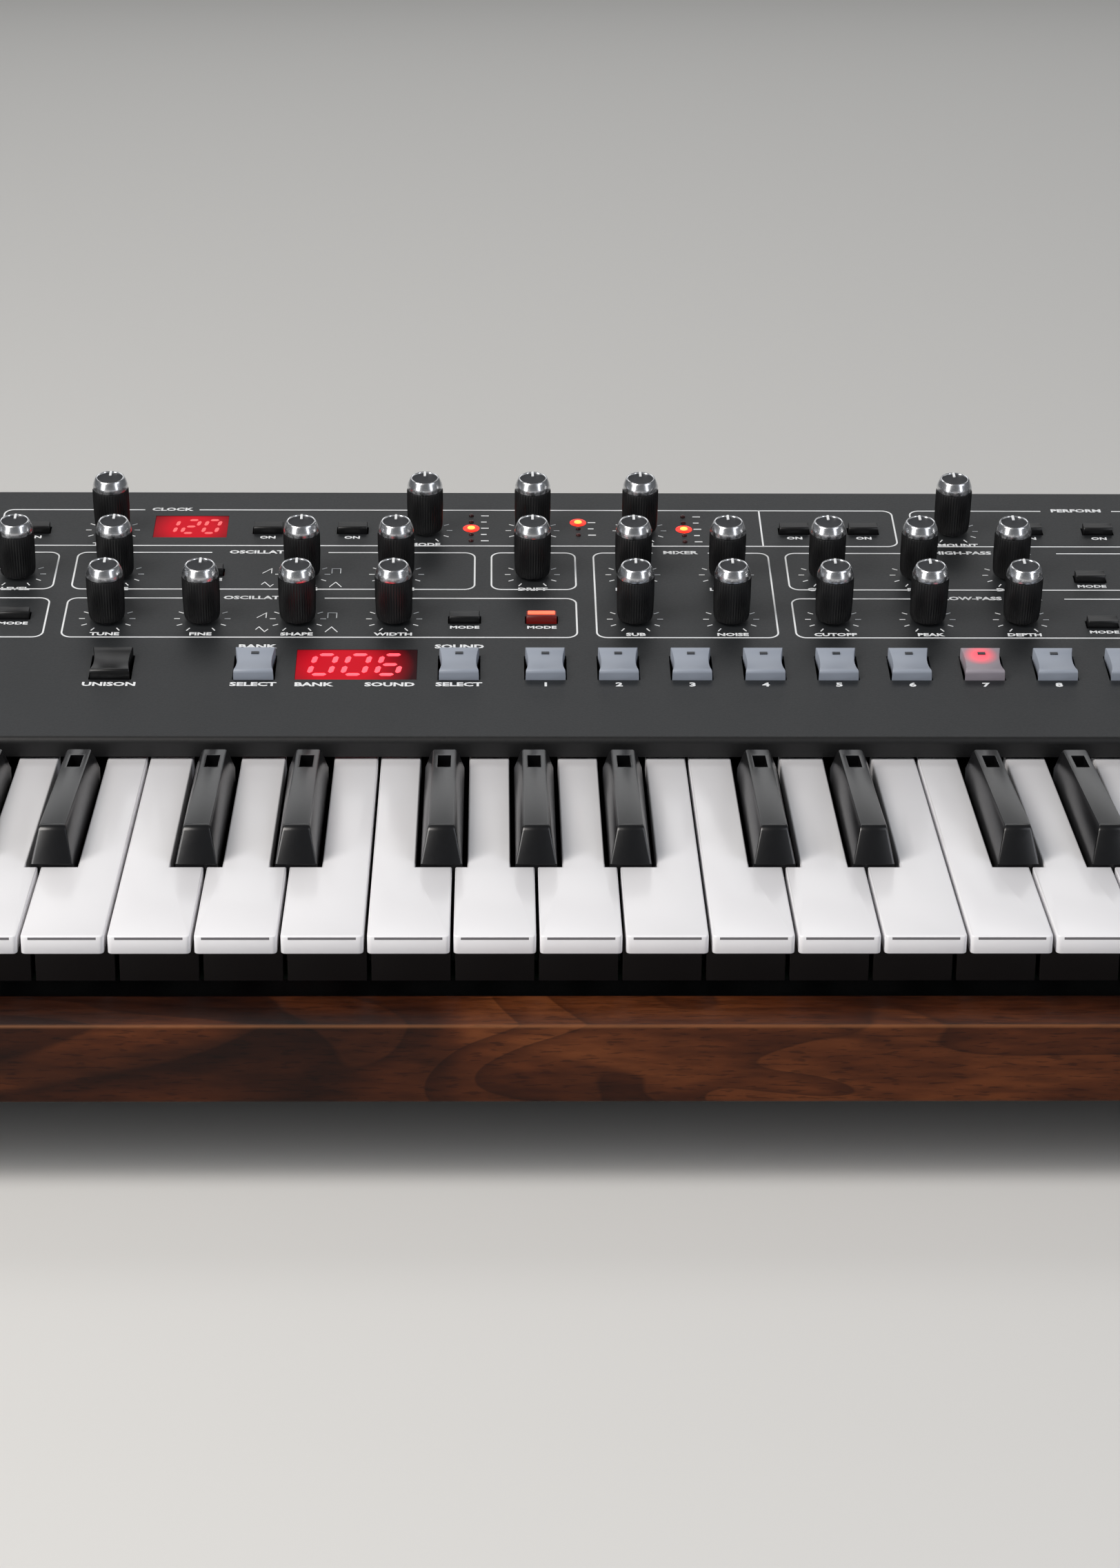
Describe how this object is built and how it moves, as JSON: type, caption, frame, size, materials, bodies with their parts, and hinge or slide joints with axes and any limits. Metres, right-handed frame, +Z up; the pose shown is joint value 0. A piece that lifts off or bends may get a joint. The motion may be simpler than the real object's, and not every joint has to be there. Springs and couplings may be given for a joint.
{
  "type": "synthesizer",
  "caption": "Keyboard synthesizer with walnut end cheeks and front rail, a sloping steel panel of knobs, push buttons and displays, and thumb wheels.",
  "frame": {"origin": "on the surface that the feet stand on, below the middle of the case", "axes": "+X along the keys to the player's right, +Y to the rear, +Z up"},
  "size_m": [0.813, 0.323, 0.1179],
  "materials": {
    "walnut": "oiled walnut",
    "case_steel": "black powder coat",
    "panel_steel": "charcoal powder coat",
    "zinc_steel": "zinc plated",
    "spring_steel": "bright",
    "circuit_board": "solder mask",
    "supply_case": "satin",
    "pot_shell": "plated",
    "red_window": "clear red acrylic",
    "foot_rubber": "matte",
    "black_screw": "black oxide",
    "socket_plastic": "moulded",
    "knob_black": "ribbed, with a bright cap",
    "button_grey": "satin",
    "button_black": "satin",
    "wheel_black": "satin",
    "key_white": "satin gloss",
    "key_black": "gloss"
  },
  "bodies": {
    "case": {"base_pan": "case_steel", "case_screws": "black_screw", "control_panel": "panel_steel", "display_windows": "red_window", "front_rail": "walnut", "key_contact_board": "circuit_board", "key_springs": "spring_steel", "keybed_frame": "zinc_steel", "left_cheek": "walnut", "main_board": "circuit_board", "panel_board": "circuit_board", "potentiometers": "pot_shell", "power_inlet": "socket_plastic", "power_supply": "supply_case", "rear_panel": "case_steel", "rear_sockets": "socket_plastic", "right_cheek": "walnut", "rubber_feet": "foot_rubber", "side_knobs": "knob_black", "wheel_plate": "panel_steel"},
    "tempo_knob": {"tempo_knob": "knob_black"},
    "arp_mode_knob": {"arp_mode_knob": "knob_black"},
    "arp_range_knob": {"arp_range_knob": "knob_black"},
    "arp_rate_knob": {"arp_rate_knob": "knob_black"},
    "aftertouch_knob": {"aftertouch_knob": "knob_black"},
    "osc_1_frequency_knob": {"osc_1_frequency_knob": "knob_black"},
    "osc_1_shape_knob": {"osc_1_shape_knob": "knob_black"},
    "osc_1_width_knob": {"osc_1_width_knob": "knob_black"},
    "drift_knob": {"drift_knob": "knob_black"},
    "osc_1_level_knob": {"osc_1_level_knob": "knob_black"},
    "osc_2_level_knob": {"osc_2_level_knob": "knob_black"},
    "high_pass_cutoff_knob": {"high_pass_cutoff_knob": "knob_black"},
    "high_pass_resonance_knob": {"high_pass_resonance_knob": "knob_black"},
    "high_pass_envelope_knob": {"high_pass_envelope_knob": "knob_black"},
    "osc_2_frequency_knob": {"osc_2_frequency_knob": "knob_black"},
    "osc_2_fine_knob": {"osc_2_fine_knob": "knob_black"},
    "osc_2_shape_knob": {"osc_2_shape_knob": "knob_black"},
    "osc_2_width_knob": {"osc_2_width_knob": "knob_black"},
    "sub_level_knob": {"sub_level_knob": "knob_black"},
    "noise_level_knob": {"noise_level_knob": "knob_black"},
    "low_pass_cutoff_knob": {"low_pass_cutoff_knob": "knob_black"},
    "low_pass_resonance_knob": {"low_pass_resonance_knob": "knob_black"},
    "low_pass_envelope_knob": {"low_pass_envelope_knob": "knob_black"},
    "keys_c": {"keys_c": "key_white"},
    "keys_c_sharp": {"keys_c_sharp": "key_black"},
    "keys_d": {"keys_d": "key_white"},
    "keys_d_sharp": {"keys_d_sharp": "key_black"},
    "keys_e": {"keys_e": "key_white"},
    "keys_f": {"keys_f": "key_white"},
    "keys_f_sharp": {"keys_f_sharp": "key_black"},
    "keys_g": {"keys_g": "key_white"},
    "keys_g_sharp": {"keys_g_sharp": "key_black"},
    "keys_a": {"keys_a": "key_white"},
    "keys_a_sharp": {"keys_a_sharp": "key_black"},
    "keys_b": {"keys_b": "key_white"},
    "pitch_wheel": {"pitch_wheel": "wheel_black"},
    "mod_wheel": {"mod_wheel": "wheel_black"},
    "grey_buttons": {"grey_buttons": "button_grey"},
    "black_buttons": {"black_buttons": "button_black"},
    "power_switch": {"power_switch": "socket_plastic"}
  },
  "joints": [
    {"name": "tempo_knob_turn", "type": "hinge", "parent": "case", "child": "tempo_knob", "pos_m": [-0.1579, 0.13198, 0.0974], "axis": [0, -0.1788, 0.9839], "range_deg": [-150, 150]},
    {"name": "arp_mode_knob_turn", "type": "hinge", "parent": "case", "child": "arp_mode_knob", "pos_m": [-0.0525, 0.13198, 0.0974], "axis": [0, -0.1788, 0.9839], "range_deg": [-150, 150]},
    {"name": "arp_range_knob_turn", "type": "hinge", "parent": "case", "child": "arp_range_knob", "pos_m": [-0.0163, 0.13198, 0.0974], "axis": [0, -0.1788, 0.9839], "range_deg": [-150, 150]},
    {"name": "arp_rate_knob_turn", "type": "hinge", "parent": "case", "child": "arp_rate_knob", "pos_m": [0.0199, 0.13198, 0.0974], "axis": [0, -0.1788, 0.9839], "range_deg": [-150, 150]},
    {"name": "aftertouch_knob_turn", "type": "hinge", "parent": "case", "child": "aftertouch_knob", "pos_m": [0.1256, 0.13198, 0.0974], "axis": [0, -0.1788, 0.9839], "range_deg": [-150, 150]},
    {"name": "osc_1_frequency_knob_turn", "type": "hinge", "parent": "case", "child": "osc_1_frequency_knob", "pos_m": [-0.154, 0.10109, 0.09179], "axis": [0, -0.1788, 0.9839], "range_deg": [-150, 150]},
    {"name": "osc_1_shape_knob_turn", "type": "hinge", "parent": "case", "child": "osc_1_shape_knob", "pos_m": [-0.0925, 0.10109, 0.09179], "axis": [0, -0.1788, 0.9839], "range_deg": [-150, 150]},
    {"name": "osc_1_width_knob_turn", "type": "hinge", "parent": "case", "child": "osc_1_width_knob", "pos_m": [-0.0615, 0.10109, 0.09179], "axis": [0, -0.1788, 0.9839], "range_deg": [-150, 150]},
    {"name": "drift_knob_turn", "type": "hinge", "parent": "case", "child": "drift_knob", "pos_m": [-0.0166, 0.10109, 0.09179], "axis": [0, -0.1788, 0.9839], "range_deg": [-150, 150]},
    {"name": "osc_1_level_knob_turn", "type": "hinge", "parent": "case", "child": "osc_1_level_knob", "pos_m": [0.0167, 0.10109, 0.09179], "axis": [0, -0.1788, 0.9839], "range_deg": [-150, 150]},
    {"name": "osc_2_level_knob_turn", "type": "hinge", "parent": "case", "child": "osc_2_level_knob", "pos_m": [0.0477, 0.10109, 0.09179], "axis": [0, -0.1788, 0.9839], "range_deg": [-150, 150]},
    {"name": "high_pass_cutoff_knob_turn", "type": "hinge", "parent": "case", "child": "high_pass_cutoff_knob", "pos_m": [0.0807, 0.10109, 0.09179], "axis": [0, -0.1788, 0.9839], "range_deg": [-150, 150]},
    {"name": "high_pass_resonance_knob_turn", "type": "hinge", "parent": "case", "child": "high_pass_resonance_knob", "pos_m": [0.111, 0.10109, 0.09179], "axis": [0, -0.1788, 0.9839], "range_deg": [-150, 150]},
    {"name": "high_pass_envelope_knob_turn", "type": "hinge", "parent": "case", "child": "high_pass_envelope_knob", "pos_m": [0.1418, 0.10109, 0.09179], "axis": [0, -0.1788, 0.9839], "range_deg": [-150, 150]},
    {"name": "osc_2_frequency_knob_turn", "type": "hinge", "parent": "case", "child": "osc_2_frequency_knob", "pos_m": [-0.1543, 0.07118, 0.08635], "axis": [0, -0.1788, 0.9839], "range_deg": [-150, 150]},
    {"name": "osc_2_fine_knob_turn", "type": "hinge", "parent": "case", "child": "osc_2_fine_knob", "pos_m": [-0.1236, 0.07118, 0.08635], "axis": [0, -0.1788, 0.9839], "range_deg": [-150, 150]},
    {"name": "osc_2_shape_knob_turn", "type": "hinge", "parent": "case", "child": "osc_2_shape_knob", "pos_m": [-0.0927, 0.07118, 0.08635], "axis": [0, -0.1788, 0.9839], "range_deg": [-150, 150]},
    {"name": "osc_2_width_knob_turn", "type": "hinge", "parent": "case", "child": "osc_2_width_knob", "pos_m": [-0.0616, 0.07118, 0.08635], "axis": [0, -0.1788, 0.9839], "range_deg": [-150, 150]},
    {"name": "sub_level_knob_turn", "type": "hinge", "parent": "case", "child": "sub_level_knob", "pos_m": [0.0164, 0.07118, 0.08635], "axis": [0, -0.1788, 0.9839], "range_deg": [-150, 150]},
    {"name": "noise_level_knob_turn", "type": "hinge", "parent": "case", "child": "noise_level_knob", "pos_m": [0.0476, 0.07118, 0.08635], "axis": [0, -0.1788, 0.9839], "range_deg": [-150, 150]},
    {"name": "low_pass_cutoff_knob_turn", "type": "hinge", "parent": "case", "child": "low_pass_cutoff_knob", "pos_m": [0.0807, 0.07118, 0.08635], "axis": [0, -0.1788, 0.9839], "range_deg": [-150, 150]},
    {"name": "low_pass_resonance_knob_turn", "type": "hinge", "parent": "case", "child": "low_pass_resonance_knob", "pos_m": [0.1114, 0.07118, 0.08635], "axis": [0, -0.1788, 0.9839], "range_deg": [-150, 150]},
    {"name": "low_pass_envelope_knob_turn", "type": "hinge", "parent": "case", "child": "low_pass_envelope_knob", "pos_m": [0.1418, 0.07118, 0.08635], "axis": [0, -0.1788, 0.9839], "range_deg": [-150, 150]},
    {"name": "keys_c_press", "type": "hinge", "parent": "case", "child": "keys_c", "pos_m": [0, 0.0511, 0.054], "axis": [1, 0, 0], "range_deg": [0, 3], "stiffness_Nm_per_rad": 8, "springref_deg": -5.73},
    {"name": "keys_c_sharp_press", "type": "hinge", "parent": "case", "child": "keys_c_sharp", "pos_m": [0, 0.0511, 0.054], "axis": [1, 0, 0], "range_deg": [0, 3], "stiffness_Nm_per_rad": 3.6, "springref_deg": -5.73},
    {"name": "keys_d_press", "type": "hinge", "parent": "case", "child": "keys_d", "pos_m": [0, 0.0511, 0.054], "axis": [1, 0, 0], "range_deg": [0, 3], "stiffness_Nm_per_rad": 6.4, "springref_deg": -5.73},
    {"name": "keys_d_sharp_press", "type": "hinge", "parent": "case", "child": "keys_d_sharp", "pos_m": [0, 0.0511, 0.054], "axis": [1, 0, 0], "range_deg": [0, 3], "stiffness_Nm_per_rad": 3.6, "springref_deg": -5.73},
    {"name": "keys_e_press", "type": "hinge", "parent": "case", "child": "keys_e", "pos_m": [0, 0.0511, 0.054], "axis": [1, 0, 0], "range_deg": [0, 3], "stiffness_Nm_per_rad": 6.4, "springref_deg": -5.73},
    {"name": "keys_f_press", "type": "hinge", "parent": "case", "child": "keys_f", "pos_m": [0, 0.0511, 0.054], "axis": [1, 0, 0], "range_deg": [0, 3], "stiffness_Nm_per_rad": 6.4, "springref_deg": -5.73},
    {"name": "keys_f_sharp_press", "type": "hinge", "parent": "case", "child": "keys_f_sharp", "pos_m": [0, 0.0511, 0.054], "axis": [1, 0, 0], "range_deg": [0, 3], "stiffness_Nm_per_rad": 3.6, "springref_deg": -5.73},
    {"name": "keys_g_press", "type": "hinge", "parent": "case", "child": "keys_g", "pos_m": [0, 0.0511, 0.054], "axis": [1, 0, 0], "range_deg": [0, 3], "stiffness_Nm_per_rad": 6.4, "springref_deg": -5.73},
    {"name": "keys_g_sharp_press", "type": "hinge", "parent": "case", "child": "keys_g_sharp", "pos_m": [0, 0.0511, 0.054], "axis": [1, 0, 0], "range_deg": [0, 3], "stiffness_Nm_per_rad": 3.6, "springref_deg": -5.73},
    {"name": "keys_a_press", "type": "hinge", "parent": "case", "child": "keys_a", "pos_m": [0, 0.0511, 0.054], "axis": [1, 0, 0], "range_deg": [0, 3], "stiffness_Nm_per_rad": 6.4, "springref_deg": -5.73},
    {"name": "keys_a_sharp_press", "type": "hinge", "parent": "case", "child": "keys_a_sharp", "pos_m": [0, 0.0511, 0.054], "axis": [1, 0, 0], "range_deg": [0, 3], "stiffness_Nm_per_rad": 3.6, "springref_deg": -5.73},
    {"name": "keys_b_press", "type": "hinge", "parent": "case", "child": "keys_b", "pos_m": [0, 0.0511, 0.054], "axis": [1, 0, 0], "range_deg": [0, 3], "stiffness_Nm_per_rad": 6.4, "springref_deg": -5.73},
    {"name": "pitch_bend", "type": "hinge", "parent": "case", "child": "pitch_wheel", "pos_m": [-0.36135, -0.07, 0.0488], "axis": [-1, 0, 0], "range_deg": [-40, 40], "stiffness_Nm_per_rad": 0.12},
    {"name": "mod_turn", "type": "hinge", "parent": "case", "child": "mod_wheel", "pos_m": [-0.32735, -0.07, 0.0488], "axis": [-1, 0, 0], "range_deg": [0, 70]},
    {"name": "grey_buttons_press", "type": "slide", "parent": "case", "child": "grey_buttons", "axis": [0, 0.1788, -0.9839], "range_m": [0, 0.001], "stiffness_N_per_m": 14400, "springref_m": -0.0006},
    {"name": "black_buttons_press", "type": "slide", "parent": "case", "child": "black_buttons", "axis": [0, 0.1788, -0.9839], "range_m": [0, 0.001], "stiffness_N_per_m": 27600, "springref_m": -0.0006},
    {"name": "power_rock", "type": "hinge", "parent": "case", "child": "power_switch", "pos_m": [0.276, 0.1565, 0.052], "axis": [-1, 0, 0], "range_deg": [0, 12]}
  ]
}
